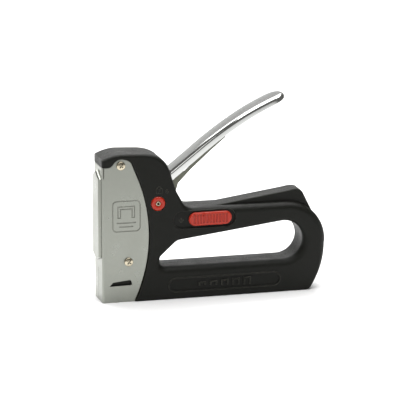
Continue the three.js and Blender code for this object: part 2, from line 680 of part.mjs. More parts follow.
// ---- power slider -----------------------------------------------------------------------------
function powerSlider() {
  const top = -halfOuter;
  const base = recessFloor - fitGap;
  const body = slab(obround(sliderFrontX, sliderBackX, sliderZ, sliderHeight), top, base);
  const grooves = [...Array(11).keys()].map((i) => {
    const x = sliderFrontX + sliderLength * (0.14 + i * 0.072);
    return box(x - 0.55, x + 0.55, top - 1, top + 0.7,
      sliderZ - sliderHeight / 2 + 1.3, sliderZ + sliderHeight / 2 - 1.3);
  });
  const neck = box(neckX[0], neckX[1], base - 0.3, -cavityHalfWidth + 0.1, sliderZ - 2, sliderZ + 2);
  return cut(join(body, neck), ...grooves);
}
add('power_slider', powerSlider(), 'redPlastic');
add('slider_carrier', box(sliderFrontX + 4, sliderBackX - 4, -cavityHalfWidth + 0.4,
  -cavityHalfWidth + 2.4, sliderZ - 4.4, sliderZ + 4.4), 'blackPlastic');

// ---- magazine -----------------------------------------------------------------------------
const channelBack = capFrontX - 8;
add('magazine_channel', cut(
  box(bladeX1 + 0.9, channelBack, -channelHalfWidth - magazineSheet,
    channelHalfWidth + magazineSheet, 0.8, channelTop + magazineSheet),
  box(0, channelBack + 2, -channelHalfWidth, channelHalfWidth, -1, channelTop),
), 'zincSteel');
add('staple_strip', cut(
  box(stripFrontX, stripBackX, -railHalfWidth - fitGap - stapleWire,
    railHalfWidth + fitGap + stapleWire, staplesTop - 10, staplesTop),
  box(0, stripBackX + 2, -railHalfWidth - fitGap, railHalfWidth + fitGap,
    -1, railTop + fitGap),
), 'nickel');
const railBottom = 3.2;
const railInner = railHalfWidth - magazineSheet;
add('magazine_rail', cut(
  box(stripFrontX, capFrontX - fitGap, -railHalfWidth, railHalfWidth, railBottom, railTop),
  box(stripFrontX + 3, capFrontX + 2, -railInner, railInner, 0, railTop - magazineSheet),
  rodAlong(0, 12, rodZ, rodRadius + 0.2),
), 'zincSteel');
const pusherFront = stripBackX + fitGap;
const pusherBack = pusherFront + 10;
const pusherOuter = channelHalfWidth - 0.35;
function pusher() {
  const saddle = box(pusherFront, pusherBack, -pusherOuter, pusherOuter, 1.2, channelTop - 0.35);
  const gap = 0.3;
  const legs = (y0, y1) => box(pusherFront - 1, pusherBack + 1, y0, y1,
    railBottom - gap, railTop + gap);
  const top = box(pusherFront - 1, pusherBack + 1, -railHalfWidth - gap, railHalfWidth + gap,
    railTop - magazineSheet - gap, railTop + gap);
  return cut(saddle, legs(-railHalfWidth - gap, gap - railInner),
    legs(railInner - gap, railHalfWidth + gap), top,
    rodAlong(pusherFront - 1, pusherBack + 1, rodZ, rodRadius + 0.2));
}
add('pusher', pusher(), 'redPlastic');
add('pusher_rod', rodAlong(stripFrontX + 0.4, capFrontX - fitGap, rodZ, rodRadius), 'nickel');

function pusherSpring() {
  const from = pusherBack + 0.4;
  const to = capFrontX - 0.6;
  const profile = [[1.8, 0], [2.7, 0], [2.7, to - from], [1.8, to - from], [1.8, 0]]
    .map(([r, y]) => new THREE.Vector2(r, y));
  const turned = new THREE.LatheGeometry(profile, 14);
  turned.rotateZ(-Math.PI / 2);
  turned.translate(from, 0, rodZ);
  return solidOf(turned);
}
add('pusher_spring', pusherSpring(), 'springSteel');
add('magazine_cap', bothSides(housingSide(), 8, { steps: 7 }).intersect(
  box(capFrontX, overallLength + 5, -10, 10, 0.6, 20)), 'blackPlastic');

// The base's middle is the origin.
tool.position.x = -(overallLength - panelRise) / 2;

export default tool;
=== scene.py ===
import json
import math

import bmesh
import bpy
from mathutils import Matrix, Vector

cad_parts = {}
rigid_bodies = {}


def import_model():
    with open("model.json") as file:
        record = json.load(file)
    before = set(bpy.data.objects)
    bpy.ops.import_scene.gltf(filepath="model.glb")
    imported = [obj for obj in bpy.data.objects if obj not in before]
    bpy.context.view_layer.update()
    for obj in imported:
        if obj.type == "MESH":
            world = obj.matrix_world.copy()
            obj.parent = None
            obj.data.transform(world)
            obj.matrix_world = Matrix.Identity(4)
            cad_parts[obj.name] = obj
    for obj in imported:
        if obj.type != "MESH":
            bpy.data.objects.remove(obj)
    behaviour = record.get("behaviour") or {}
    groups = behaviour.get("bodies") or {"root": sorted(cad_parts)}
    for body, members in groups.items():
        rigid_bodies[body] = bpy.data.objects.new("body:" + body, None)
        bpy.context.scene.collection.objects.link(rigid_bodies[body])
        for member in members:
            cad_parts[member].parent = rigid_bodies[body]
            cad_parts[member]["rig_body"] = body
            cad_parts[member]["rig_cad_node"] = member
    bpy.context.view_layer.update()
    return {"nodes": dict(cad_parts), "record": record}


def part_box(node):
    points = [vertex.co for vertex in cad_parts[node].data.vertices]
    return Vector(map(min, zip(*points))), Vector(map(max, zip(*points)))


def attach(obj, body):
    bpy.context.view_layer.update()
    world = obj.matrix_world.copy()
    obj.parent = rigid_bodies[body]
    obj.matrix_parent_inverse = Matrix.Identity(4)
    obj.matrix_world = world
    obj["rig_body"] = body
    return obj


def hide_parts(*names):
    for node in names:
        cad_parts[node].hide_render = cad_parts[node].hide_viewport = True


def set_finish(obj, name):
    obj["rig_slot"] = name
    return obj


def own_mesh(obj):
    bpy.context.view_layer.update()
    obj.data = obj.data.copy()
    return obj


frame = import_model()
mm = 0.001
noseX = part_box("nose_cover")[0].x + 2.3 * mm      # flat front face of the nose; places below start here


def at(x, y, z):
    return Vector((noseX + x * mm, y * mm, z * mm))


def only(*pieces):
    if bpy.context.object and bpy.context.object.mode != "OBJECT":
        bpy.ops.object.mode_set(mode="OBJECT")
    bpy.ops.object.select_all(action="DESELECT")
    for piece in pieces:
        piece.select_set(True)
    bpy.context.view_layer.objects.active = pieces[0]
    return pieces[0]


# Edit mode with just the vertices, edges or faces that pass the test selected.
def pick(piece, kind, test):
    only(piece)
    bpy.ops.object.mode_set(mode="EDIT")
    bpy.ops.mesh.select_mode(type=kind)
    bpy.ops.mesh.select_all(action="DESELECT")
    cage = bmesh.from_edit_mesh(piece.data)
    chosen = {"VERT": cage.verts, "EDGE": cage.edges, "FACE": cage.faces}[kind]
    for element in [e for e in chosen if test(e)]:
        element.select_set(True)
    bmesh.update_edit_mesh(piece.data)


# Merges doubles and joins flat faces, keeping a cut at each x in splits, so that no face has a hole.
def cleaned(piece, flat=True, splits=()):
    only(piece)
    bpy.ops.object.mode_set(mode="EDIT")
    bpy.ops.mesh.select_all(action="SELECT")
    bpy.ops.mesh.remove_doubles(threshold=0.002 * mm)
    for x in splits:
        bpy.ops.mesh.select_all(action="SELECT")
        bpy.ops.mesh.bisect(plane_co=at(x, 0, 0), plane_no=(1, 0, 0))
        bpy.ops.mesh.mark_seam(clear=False)
    bpy.ops.mesh.select_all(action="SELECT")
    if flat:
        bpy.ops.mesh.dissolve_limited(angle_limit=math.radians(0.2), delimit={"SEAM"})
    bpy.ops.mesh.normals_make_consistent(inside=False)
    bpy.ops.object.mode_set(mode="OBJECT")
    return piece


def placed(piece):
    only(piece)
    bpy.ops.object.transform_apply(location=True, rotation=True, scale=True)
    return piece


def applied(piece, kind, **settings):
    only(piece)
    modifier = piece.modifiers.new(kind.lower(), kind)
    for name, value in settings.items():
        setattr(modifier, name, value)
    bpy.ops.object.modifier_apply(modifier=modifier.name)
    return piece


def carved(piece, *tools, operation="DIFFERENCE"):
    for tool in tools:
        applied(piece, "BOOLEAN", object=tool, operation=operation, solver="EXACT")
        bpy.data.objects.remove(tool)
    return piece


def smooth(piece, angle=30, weighted=True):
    only(piece)
    bpy.ops.object.shade_smooth_by_angle(angle=math.radians(angle))
    if weighted:
        applied(piece, "WEIGHTED_NORMAL", keep_sharp=True, weight=100)
    return piece


# Rounds the edges that pass the test.
def rounded(piece, test, width, segments=3):
    pick(piece, "EDGE", test)
    bpy.ops.mesh.bevel(offset=width * mm, segments=segments, affect="EDGES", clamp_overlap=False)
    bpy.ops.object.mode_set(mode="OBJECT")
    return piece


def copied(piece, name, shift=(0, 0, 0)):
    only(piece)
    bpy.ops.object.duplicate()
    twin = bpy.context.object
    twin.name = twin.data.name = name
    twin.location = shift
    return placed(twin)


def arc(x, z, radius, start, end, steps=12):
    angles = [math.radians(start + (end - start) * i / steps) for i in range(steps + 1)]
    return [(x + radius * math.cos(a), z + radius * math.sin(a)) for a in angles]


def bend(p0, p1, p2, steps=8):
    ts = [i / steps for i in range(steps + 1)]
    return [tuple((1 - t) ** 2 * a + 2 * t * (1 - t) * b + t * t * c for a, b, c in zip(p0, p1, p2))
            for t in ts]


def obround(x0, x1, z, height, steps=16):
    r = height / 2
    return arc(x1 - r, z, r, -90, 90, steps) + arc(x0 + r, z, r, 90, 270, steps)


# A flat outline drawn in the side view and made solid from low to high across.
def slab(name, loops, low, high, view="side", splits=()):
    curve = bpy.data.curves.new(name, "CURVE")
    curve.dimensions = "2D"
    curve.fill_mode = "BOTH"
    curve.extrude = (high - low) / 2 * mm
    for loop in loops:
        line = curve.splines.new("POLY")
        line.points.add(len(loop) - 1)
        for point, (u, v) in zip(line.points, loop):
            point.co = (u * mm, v * mm, 0, 1)
        line.use_cyclic_u = True
    piece = bpy.data.objects.new(name, curve)
    bpy.context.collection.objects.link(piece)
    only(piece)
    bpy.ops.object.convert(target="MESH")
    middle = (low + high) / 2
    if view == "side":
        piece.rotation_euler = (math.pi / 2, 0, 0)
        piece.location = at(0, middle, 0)
    elif view == "front":
        piece.rotation_euler = (math.pi / 2, 0, math.pi / 2)
        piece.location = at(middle, 0, 0)
    else:
        piece.location = at(0, 0, middle)
    return cleaned(placed(piece), splits=splits)


def block(name, x0, x1, y0, y1, z0, z1):
    bpy.ops.mesh.primitive_cube_add(size=1, location=at((x0 + x1) / 2, (y0 + y1) / 2, (z0 + z1) / 2))
    piece = bpy.context.object
    piece.name = name
    piece.scale = ((x1 - x0) * mm, (y1 - y0) * mm, (z1 - z0) * mm)
    return placed(piece)


def rodAcross(name, x, z, radius, y0, y1, sides=48):
    bpy.ops.mesh.primitive_cylinder_add(vertices=sides, radius=radius * mm, depth=(y1 - y0) * mm,
                                        location=at(x, (y0 + y1) / 2, z), rotation=(math.pi / 2, 0, 0))
    piece = bpy.context.object
    piece.name = name
    return placed(piece)


# A profile of (radius, y) points spun about the line across the tool at x, z.
def turned(name, profile, x, z, steps=48):
    start = at(x + profile[0][0], profile[0][1], z)
    bpy.ops.mesh.primitive_plane_add(size=mm, location=start)
    piece = placed(bpy.context.object)
    piece.name = piece.data.name = name
    bpy.ops.object.mode_set(mode="EDIT")
    bpy.ops.mesh.select_mode(type="VERT")
    bpy.ops.mesh.select_all(action="SELECT")
    bpy.ops.mesh.merge(type="CENTER")
    for (r0, y0), (r1, y1) in zip(profile, profile[1:]):
        bpy.ops.mesh.extrude_region_move(
            TRANSFORM_OT_translate={"value": ((r1 - r0) * mm, (y1 - y0) * mm, 0)})
    bpy.ops.mesh.select_all(action="SELECT")
    bpy.ops.mesh.spin(steps=steps, angle=2 * math.pi, center=at(x, 0, z), axis=(0, 1, 0))
    return cleaned(piece, flat=False)


# A bench copy of a CAD piece with its sharp edges broken.
def softened(node, width=0.15, angle=35):
    piece = frame["nodes"][node].copy()
    piece.data = piece.data.copy()
    piece.name = piece.data.name = node + "_fine"
    bpy.context.collection.objects.link(piece)
    piece.parent = None
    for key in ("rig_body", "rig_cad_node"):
        if key in piece:
            del piece[key]
    piece.data.materials.clear()
    cleaned(piece)
    applied(piece, "BEVEL", width=width * mm, segments=2, limit_method="ANGLE",
            angle_limit=math.radians(angle), use_clamp_overlap=True)
    return smooth(piece, angle)


# Edges where a face that looks straight out along y meets one that doesn't, inside a region.
def rimEdge(edge, y, x0=-10, x1=200, z0=-5, z1=130):
    a, b = edge.verts[0].co, edge.verts[1].co
    middle = (a + b) / 2
    flat = abs(a.y - y * mm) < 0.01 * mm and abs(b.y - y * mm) < 0.01 * mm
    inside = at(x0, 0, z0).x < middle.x < at(x1, 0, z0).x and z0 * mm < middle.z < z1 * mm
    return flat and inside and len(edge.link_faces) == 2 and edge.calc_face_angle(0) > 0.6


print("bench tools ready")

# The camera: a long lens a little to the front and above, looking at the middle of the tool.
view = {"azimuth": -15, "elevation": 13.5, "distance": 2.5, "target": (-0.01124, -0.0144, 0.07749),
        "lens": 292.5}


def addCamera():
    around, above = math.radians(view["azimuth"]), math.radians(view["elevation"])
    back = Vector((math.sin(around) * math.cos(above), -math.cos(around) * math.cos(above),
                   math.sin(above)))
    place = Vector(view["target"]) + back * view["distance"]
    bpy.ops.object.camera_add(location=place, rotation=back.to_track_quat("Z", "Y").to_euler())
    camera = bpy.context.object
    camera.data.lens = view["lens"]
    camera.data.sensor_width = 36
    camera.data.clip_end = 20
    bpy.context.scene.camera = camera


addCamera()

# Studio: a pale floor that curves up behind, a wide soft light overhead, one over the floor behind.
studio = {
    "world": (1.0, 0.985, 0.95), "worldStrength": 0.16, "floor": (0.93, 0.93, 0.93),
    "wallY": 3, "wallHeight": 4, "sweep": 1500,
    "lights": [
        ("overhead", (0.1, -0.05, 1.15), (0.1, 0.02, 0), 1.1, 19),
        ("behind", (0.0, 1.15, 1.3), (0.0, 1.1, 0), 1.5, 30),
        ("wall", (0.0, 1.2, 2.2), (0.0, 3.0, 0.9), 1.5, 11),
        ("front", (-0.7, -1.3, 0.75), (0.0, 0.0, 0.07), 0.5, 1.6),
    ],
}


def addStudio():
    bpy.ops.mesh.primitive_plane_add(size=1, location=(0, 0, 0))
    floor = bpy.context.object
    floor.name = "floor"
    floor.scale = (8, 2 * studio["wallY"], 1)
    placed(floor)

    def atWall(edge):
        return min(v.co.y for v in edge.verts) > 0.97 * studio["wallY"]

    pick(floor, "EDGE", atWall)
    bpy.ops.mesh.extrude_region_move(TRANSFORM_OT_translate={"value": (0, 0, studio["wallHeight"])})
    bpy.ops.object.mode_set(mode="OBJECT")
    rounded(floor, lambda e: atWall(e) and max(v.co.z for v in e.verts) < 0.01, studio["sweep"], 16)
    smooth(floor, 60, weighted=False)
    paper = bpy.data.materials.new("paper")
    paper.use_nodes = True
    shader = paper.node_tree.nodes["Principled BSDF"]
    shader.inputs["Base Color"].default_value = (*studio["floor"], 1)
    shader.inputs["Roughness"].default_value = 0.9
    floor.data.materials.append(paper)
    world = bpy.data.worlds.new("studio")
    bpy.context.scene.world = world
    world.use_nodes = True
    sky = world.node_tree.nodes["Background"]
    sky.inputs["Color"].default_value = (*studio["world"], 1)
    sky.inputs["Strength"].default_value = studio["worldStrength"]
    for name, place, aim, size, power in studio["lights"]:
        bpy.ops.object.light_add(type="AREA", location=place)
        light = bpy.context.object
        light.name = name
        light.data.size = size
        light.data.energy = power
        light.rotation_euler = (Vector(aim) - Vector(place)).to_track_quat("-Z", "Y").to_euler()
    bpy.context.scene.view_settings.view_transform = "Standard"


addStudio()
print("studio ready")

# Housing: two plastic halves that meet on the middle plane.
housing = {
    "halfWidth": 14.5, "seam": 0.03, "seamEdge": 0.22, "top": 71, "headTop": 117, "length": 179,
    "backRadius": 32,
    "loopFloor": 25.5, "loopHeight": 31, "gripRound": 5.5, "headRound": 3, "footRound": 1,
    "finHalfWidth": 8, "finEdge": 1.1, "groove": 0.5, "grooveY": -4.6, "channelTop": 17.3,
}
backX = housing["length"] - housing["backRadius"]


def housingLine():
    top, head, end = housing["top"], housing["headTop"], housing["length"]
    waist = top - housing["backRadius"]
    points = [(0, 0.3), (25.2, 0.3), (26.2, 0), (60, 0), (100, 0), (backX + 14, 0)]
    points += bend((backX + 15, 0), (backX + 18.3, 0), (backX + 20, 2.4), 6)
    points += arc(end - 0.3 - 62.5, waist, 62.5, -34, -2, 12)
    points += arc(backX, waist, housing["backRadius"], 0, 90, 28)
    points += [(backX - 12, top), (backX - 30, top), (backX - 45, top), (88, top), (80, top)]
    points += bend((73, top), (66, top), (63.6, top + 5.5), 8)
    points += [(61.3, top + 9.7), (59, top + 14), (56.6, top + 21)]
    points += bend((54.6, head - 18.5), (53, head - 10), (46.5, head - 5.2), 8)
    points += bend((46.5, head - 5.2), (41, head - 1.4), (32, head - 0.8), 8)[1:]
    points += [(24, head - 0.4)]
    return points + bend((15, head), (8, head - 0.2), (0, head - 4), 8)


def loopLine():
    floor, tall = housing["loopFloor"], housing["loopHeight"]
    r = tall / 2
    middle = floor + r
    points = [(60, floor), (80, floor), (100, floor), (120, floor)]
    points += arc(backX - 2, middle, r, -90, 97.4, 30)
    points += [(110, 52.3), (85, 49.2)]
    points += bend((62, middle + 5.4), (59, middle + 5), (57, middle + 3), 6)
    points += bend((47, middle - 6.5), (46, middle - 7.5), (46, middle - 9), 6)
    points += bend((46, floor + 5), (46, floor), (51, floor), 8)
    return points


def plateLine(grow=0):
    lean, tall = 37 - 25.2, 52
    bow = (tall ** 2 + lean ** 2) / (2 * lean)
    centre = 37 - bow
    low, high = (math.degrees(math.asin((z - tall) / (bow + grow))) for z in (-grow, 99.5))
    points = arc(centre, tall, bow + grow, low, high, 28)
    points += bend((23.2 + grow, 109.4), (20.3 + grow, 112.8 + grow), (14.9, 112.8 + grow), 8)
    points += bend((14.9, 112.8 + grow), (11.9 - grow, 112.8 + grow), (8.9, 109.2 + grow), 6)[1:]
    points += bend((8.9, 109.2 + grow), (7.3, 106.6 + grow), (4.3, 106.6 + grow), 6)[1:]
    return points + [(-grow, 106.6 + grow), (-grow, -grow)]


# Rounding of the outer edge: generous on the grip, tighter on the head, small along the base.
def edgeRound(x, z):
    grip, head, foot = housing["gripRound"], housing["headRound"], housing["footRound"]
    if x > 150:
        return foot + (grip - foot) * min(1, max(0, (z - 2) / 34))
    if z < 3:
        return foot
    return head + (grip - head) * min(1, (x - 60) / 22) if x > 60 else head


# Rounding of the finger loop: full along its floor and back, less under the grip bar.
def loopRound(x, z):
    low, high = (38, 55) if x > 110 else (28, 40)
    share = min(1, max(0, (z - low) / (high - low)))
    return housing["gripRound"] - 2.5 * share * share * (3 - 2 * share)


# Rounds the rim of the face at y = -halfWidth, each point of it with its own radius.
def roundRim(piece, steps=9):
    face = -housing["halfWidth"] * mm
    pick(piece, "FACE", lambda f: all(abs(v.co.y - face) < 0.01 * mm for v in f.verts))
    bpy.ops.mesh.delete(type="FACE")
    cage = bmesh.from_edit_mesh(piece.data)
    rim = [v for v in cage.verts if abs(v.co.y - face) < 0.01 * mm]
    edges = [list(e.verts) for e in cage.edges if e.is_boundary and e.verts[0] in rim]
    start, push, radius = {}, {}, {}
    for v in rim:
        first, last = v.link_faces[0].normal.copy(), v.link_faces[-1].normal.copy()
        start[v], push[v] = v.co.copy(), -(first + last) / (1 + first.dot(last))
        x, z = (v.co.x - noseX) / mm, v.co.z / mm
        inLoop = 45.5 < x < 161.5 and 25 < z < 57.5
        radius[v] = (loopRound(x, z) if inLoop else edgeRound(x, z)) * mm
        v.co.y = face + radius[v]
    ring = {v: v for v in rim}
    for step in range(1, steps + 1):
        angle = math.pi / 2 * step / steps
        after = {}
        for v in rim:
            place = start[v] + push[v] * radius[v] * (1 - math.cos(angle))
            place.y = face + radius[v] * (1 - math.sin(angle))
            after[v] = cage.verts.new(place)
        for a, b in edges:
            cage.faces.new((ring[a], ring[b], after[b], after[a]))
        ring = after
    bmesh.update_edit_mesh(piece.data)
    bpy.ops.mesh.select_mode(type="VERT")
    bpy.ops.mesh.select_all(action="DESELECT")
    cage = bmesh.from_edit_mesh(piece.data)
    for e in cage.edges:
        if e.is_boundary:
            e.select_set(True)
    bmesh.update_edit_mesh(piece.data)
    bpy.ops.mesh.fill(use_beauty=True)
    return cleaned(piece, splits=(100,))


def finHalf():
    top = housing["top"]
    points = [(87, top - 0.4)] + bend((150, 79.4), (156, 80.8), (159.4, 79.4), 8)
    points += bend((160.6, 78.4), (161.8, 77.2), (162.7, 75), 4) + [(170, top - 11), (107, top - 11)]
    fin = slab("fin", [points], -housing["finHalfWidth"], -housing["seam"])
    rounded(fin, lambda e: rimEdge(e, -housing["finHalfWidth"], z0=top - 0.3), housing["finEdge"])
    line = [(86, top), (150, 79.3), (161, 79.7), (161, 83), (86, 75)]
    middle, half = housing["grooveY"], housing["groove"] / 2
    return carved(fin, slab("groove", [line], middle - half, middle + half))


# The part of a half that both sides share: outline, centre rib, rooms for the works, pivot boss.
def commonHalf():
    face, seam, channel = -housing["halfWidth"], -housing["seam"], housing["channelTop"]
    half = roundRim(slab("half", [housingLine(), loopLine()], face, seam, splits=(100,)))
    rounded(half, lambda e: rimEdge(e, seam), housing["seamEdge"], 1)
    carved(half, finHalf(), operation="UNION")
    carved(half, slab("plateRoom", [plateLine(0.3)], -20, -11.2),
           block("wallRoom", -1, 1.8, -20, 1, -1, 106.9))
    rounded(half, lambda e: rimEdge(e, face, x1=40), 0.7)
    rooms = [
        slab("driverRoom", [[(-1, channel), (24, channel), (24, 110), (6.1, 110), (6.1, 105.6),
                             (-1, 105.6)]], -8.2, 1),
        slab("headRoom", [[(22, 65), (51, 65), (53, 97), (44, 110.5), (22, 113.6), (7.3, 112.8),
                           (7.3, 109), (22, 109)]], -12, 1),
        slab("leverRoom", [[(30, 71.8), (86, 71.8), (86, 113), (53.5, 113), (49, 108), (30, 108)]],
             -9.5, 1),
        block("sliderRoom", 59, 107.6, -12, 1, 56.6, 67.8),
        block("magazineRoom", -1, 160, -7.4, 1, -1, channel + 1.3),
        block("capRoom", 159, 184, -8.4, 1, -1, 20.4),
    ]
    carved(half, *rooms)
    carved(half, rodAcross("boss", 40, 92, 5, -12.5, -9.5), operation="UNION")
    carved(half, rodAcross("pinHole", 40, 92, 2.6, -11.8, 1),
           rodAcross("lockHole", 44, 76.6, 5.95, -17, -1, 64))
    return half


# A thin raised bead round a slightly sunk field on the base bar, with staples of five leg lengths.
badge = {"x0": 51.8, "x1": 142.2, "z": 11, "height": 11.6, "bead": 1, "proud": 0.45, "sunk": 0.5}


def stapleLine(x, z, width, legs, wire):
    half = width / 2
    return [(x - half, z - legs), (x - half, z), (x + half, z), (x + half, z - legs),
            (x + half - wire, z - legs), (x + half - wire, z - wire), (x - half + wire, z - wire),
            (x - half + wire, z - legs)]


def withBadge(half):
    face, b = -housing["halfWidth"], badge
    field = obround(b["x0"] + b["bead"], b["x1"] - b["bead"], b["z"], b["height"] - 2 * b["bead"])
    carved(half, slab("field", [field], face - 1, face + b["sunk"]))
    bead = slab("bead", [obround(b["x0"], b["x1"], b["z"], b["height"]), field], face - b["proud"],
                face + 1, splits=(97,))
    rounded(bead, lambda e: rimEdge(e, face - b["proud"]), 0.3)
    marks = []
    for i in range(5):
        legs = 2.8 + 0.8 * i
        marks.append(stapleLine(79 + 9 * i, b["z"] + legs / 2, 5.6, legs, 1))
    raised = slab("marks", marks, face - 0.4, face + 1)
    return carved(half, bead, raised, operation="UNION")


recess = {"length": 49.6, "height": 13.7, "depth": 1.5, "past": 3.2}
sliderBox = [(corner - at(0, 0, 0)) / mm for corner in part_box("power_slider")]
slider = {"x0": sliderBox[0].x, "x1": sliderBox[1].x, "z": (sliderBox[0].z + sliderBox[1].z) / 2,
          "height": sliderBox[1].z - sliderBox[0].z, "face": sliderBox[0].y}


def leftHalf(shared):
    face, front = -housing["halfWidth"], slider["x1"] + recess["past"] - recess["length"]
    half = withBadge(copied(shared, "housing_left_shell"))
    floor = face + recess["depth"]
    carved(half, slab("recess", [obround(front, front + recess["length"], slider["z"],
                                         recess["height"])], face - 2, floor))
    rounded(half, lambda e: rimEdge(e, face, front - 2, front + recess["length"] + 2, 54, 70), 0.4)
    plus = slab("plus", [[(61.2, 61.6), (62.1, 61.6), (62.1, 60.3), (62.9, 60.3), (62.9, 61.6),
                          (64.2, 61.6), (64.2, 62.4), (62.9, 62.4), (62.9, 63.7), (62.1, 63.7),
                          (62.1, 62.4), (60.8, 62.4), (60.8, 61.6)]], floor - 1, floor + 0.35)
    neck = slab("neck", [obround(slider["x0"] + 1, slider["x0"] + 23.5, slider["z"], 5)], -16, 0)
    return carved(half, plus, neck)


housingScrewPlaces = [(41.5, 27), (64, 52.1), (169, 42), (155, 62)]


def rightHalf(shared):
    half = withBadge(copied(shared, "housing_right_shell"))
    for x, z in housingScrewPlaces:
        carved(half, rodAcross("well", x, z, 3.9, -16, -10), rodAcross("bore", x, z, 1.8, -11, 1, 24))
    half.scale.y = -1
    return cleaned(placed(half), flat=False)


# A padlock and an arrow, raised a little above the lock button.
def lockSign():
    face = -housing["halfWidth"]
    body = [(42.2, 84.6), (47.4, 84.6), (47.4, 88.4), (42.2, 88.4)]
    bow = arc(44.8, 88.4, 1.9, 0, 180, 12) + arc(44.8, 88.4, 1.2, 180, 0, 12)
    arrow = [(50.1, 87.4), (51.5, 87.4), (51.5, 85.8), (52.4, 85.8), (50.8, 83.9), (49.2, 85.8),
             (50.1, 85.8)]
    sign = slab("lock_sign", [body, bow, arrow, arc(44.8, 86.6, 0.6, 0, 345, 12)], face - 0.35, face + 0.3)
    return rounded(sign, lambda e: rimEdge(e, face - 0.35), 0.1, 1)


pieces = {}


def keep(piece, body, slot, *nodes):
    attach(piece, body)
    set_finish(piece, slot)
    if nodes:
        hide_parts(*nodes)
    pieces[piece.name] = piece
    return piece


shared = commonHalf()
keep(smooth(leftHalf(shared)), "housing", "black_plastic", "housing_left")
keep(smooth(rightHalf(shared)), "housing", "black_plastic", "housing_right")
keep(smooth(lockSign()), "housing", "black_plastic")
bpy.data.objects.remove(shared)
print("housing", [len(p.data.polygons) for p in pieces.values()])

# Nose: folded sheet with a raised front panel, a sight slot and a stamped staple sign.
nose = {"halfWidth": 13, "sheet": 1.5, "corner": 1.8, "panelHalf": 11, "panelRise": 2.3, "stamp": 0.5}


def roundedBox(x0, x1, z0, z1, r):
    return (arc(x1 - r, z1 - r, r, 0, 90, 6) + arc(x0 + r, z1 - r, r, 90, 180, 6)
            + arc(x0 + r, z0 + r, r, 180, 270, 6) + arc(x1 - r, z0 + r, r, 270, 360, 6))


def stampLoops():
    frameLines = [roundedBox(7.6, 30.4, 55.6, 80.6, 3.8), roundedBox(8.8, 29.2, 56.8, 79.4, 2.6)]
    staple = stapleLine(19, 76, 14, 9.6, 2.9)
    inner = stapleLine(19, 75.1, 12.2, 7.8, 1.1)
    return frameLines + [staple, inner,
                         roundedBox(11.4, 26.6, 62.2, 63.4, 0.5),
                         roundedBox(13.4, 24.6, 59.2, 60.4, 0.5)]


def noseShell():
    wide, r = nose["halfWidth"], nose["corner"]
    plan = [(60, -wide), (60, wide)] + arc(r, wide - r, r, 90, 180, 8) + arc(r, r - wide, r, 180, 270, 8)
    shell = slab("nose_shell", [plan], -1, 120, view="top")
    carved(shell, slab("sides", [plateLine()], -20, 20), operation="INTERSECT")
    inside = wide - nose["sheet"]
    carved(shell, block("hollow", nose["sheet"], 60, -inside, inside, -2, 125))
    rounded(shell, lambda e: rimEdge(e, -wide) or rimEdge(e, wide), 0.35)
    half, rise = nose["panelHalf"], nose["panelRise"]
    panel = slab("panel", [[(0, 32), (half, 35.6), (half, 97.7), (0, 102.9), (-half, 97.7), (-half, 35.6)]],
                 -rise, 0.5, view="front")
    frontX = at(-rise, 0, 0).x
    rounded(panel, lambda e: all(abs(v.co.x - frontX) < 0.01 * mm for v in e.verts), 1.9, 5)
    carved(shell, panel, operation="UNION")
    sight = [(5.6, 12.8), (6.4, 13.9), (8.4, 16)] + bend((20.4, 17.2), (22.4, 17.5), (23, 15.9), 6)
    sight += bend((23.2, 15), (23.9, 13.2), (22, 13.1), 6)
    cuts = [slab("sight", [sight], -20, 20), block("relief", 1.2, 1.8, -20, 20, 98, 120),
            block("slit", -1, 1.1, -0.3, 0.3, -2, 26), block("notch", -1, 0.4, 10.7, 11, 23, 30),
            slab("stampLeft", stampLoops(), -wide - 1, -wide + nose["stamp"]),
            slab("stampRight", stampLoops(), wide - nose["stamp"], wide + 1)]
    return carved(shell, *cuts)


keep(smooth(noseShell()), "housing", "zinc_steel", "nose_cover")
print("nose shell", len(pieces["nose_shell"].data.polygons))


# Screws: a domed head with a cross recess, made once for each kind and copied into place.
def crossScrew(name, head, shank, low, high, turn):
    crown = (high - low) * 0.45
    turns = [math.radians(a) for a in range(0, 90, 10)]
    dome = [(head * math.cos(a), high - crown + crown * math.sin(a)) for a in turns] + [(0, high)]
    profile = [(0, low + 3), (shank, low + 3), (shank, low), (head - 0.25, low), (head, low - 0.25)]
    screw = turned(name, profile + dome, 0, 0, 40)
    arm, wide, deep = head * 0.55, head * 0.13, (low - high) * 0.75
    for angle in (turn, turn + 90):
        slot = block("slot", -arm, arm, high - 1, high + deep, -wide, wide)
        slot.rotation_euler.y = math.radians(angle)
        slot.location = at(0, 0, 0) - placeTurned(at(0, 0, 0), angle)
        carved(screw, placed(slot))
    return screw


def placeTurned(place, degrees):
    turn = math.radians(degrees)
    return Vector((place.x * math.cos(turn) + place.z * math.sin(turn), place.y,
                   -place.x * math.sin(turn) + place.z * math.cos(turn)))


pan = crossScrew("pan_screw", 3.4, 1.9, -13.05, -14.98, 38)
for level in ("upper", "lower"):
    for side in ("left", "right"):
        node = f"nose_screw_{level}_{side}"
        low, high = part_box(node)
        middle = (low + high) / 2
        screw = copied(pan, node + "_head")
        if side == "right":
            screw.scale.y = -1
            cleaned(placed(screw), flat=False)
        screw.location = (middle.x - noseX, 0, middle.z)
        keep(smooth(placed(screw), 40), "housing", "nickel", node)
bpy.data.objects.remove(pan)
wellScrew = crossScrew("well_screw", 3.3, 1.5, -10.3, -12.4, 20)
wellScrew.scale.y = -1
cleaned(placed(wellScrew), flat=False)
for i, (x, z) in enumerate(housingScrewPlaces):
    screw = copied(wellScrew, f"case_screw_{i + 1}", (x * mm, 0, z * mm))
    keep(smooth(screw, 40), "housing", "spring_steel", f"housing_screw_{i + 1}")
bpy.data.objects.remove(wellScrew)
print("screws ready")


